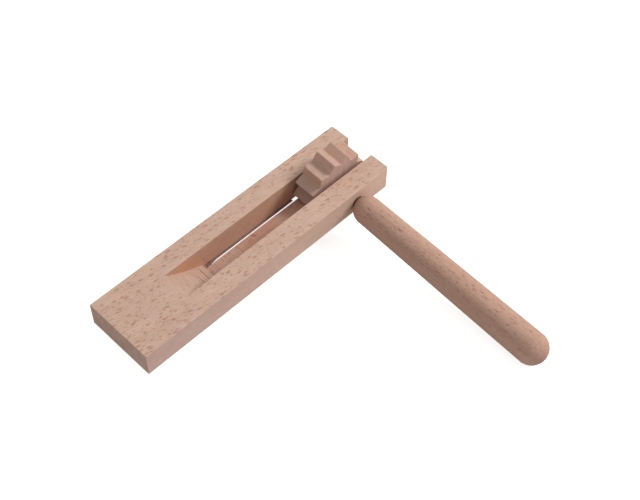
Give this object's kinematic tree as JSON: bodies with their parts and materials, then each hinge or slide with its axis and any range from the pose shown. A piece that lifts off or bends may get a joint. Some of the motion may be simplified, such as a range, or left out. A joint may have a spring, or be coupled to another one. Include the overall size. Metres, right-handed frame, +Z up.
{
  "type": "ratchet rattle",
  "caption": "Hand-whirled wooden ratchet rattle: a slotted beech block whose springy tongue is lifted and dropped by a toothed wheel turning with the side handle.",
  "frame": {"origin": "the middle of the block's solid end face", "axes": "+X runs along the block from the solid end to the toothed wheel, the handle sticks out on -Y and droops a little, +Z is up out of the run-out side of the slot"},
  "size_m": [0.2, 0.2024, 0.0488],
  "materials": {
    "block_beech": "matte",
    "tongue_beech": "matte",
    "axle_beech": "matte",
    "wheel_beech": "matte",
    "handle_beech": "matte"
  },
  "bodies": {
    "frame": {"block": "block_beech"},
    "spring_tongue": {"tongue": "tongue_beech"},
    "spinner": {"axle": "axle_beech", "ratchet_wheel": "wheel_beech", "handle": "handle_beech"}
  },
  "joints": [
    {"name": "handle_spin", "type": "hinge", "parent": "frame", "child": "spinner", "pos_m": [0.1719, 0, 0.001], "axis": [0, -0.9963, -0.0854], "continuous": true},
    {"name": "tongue_flex", "type": "hinge", "parent": "frame", "child": "spring_tongue", "pos_m": [0.07439, 0, -0.00835], "axis": [0, 1, 0], "range_deg": [0, 3.5], "stiffness_Nm_per_rad": 3.2}
  ]
}
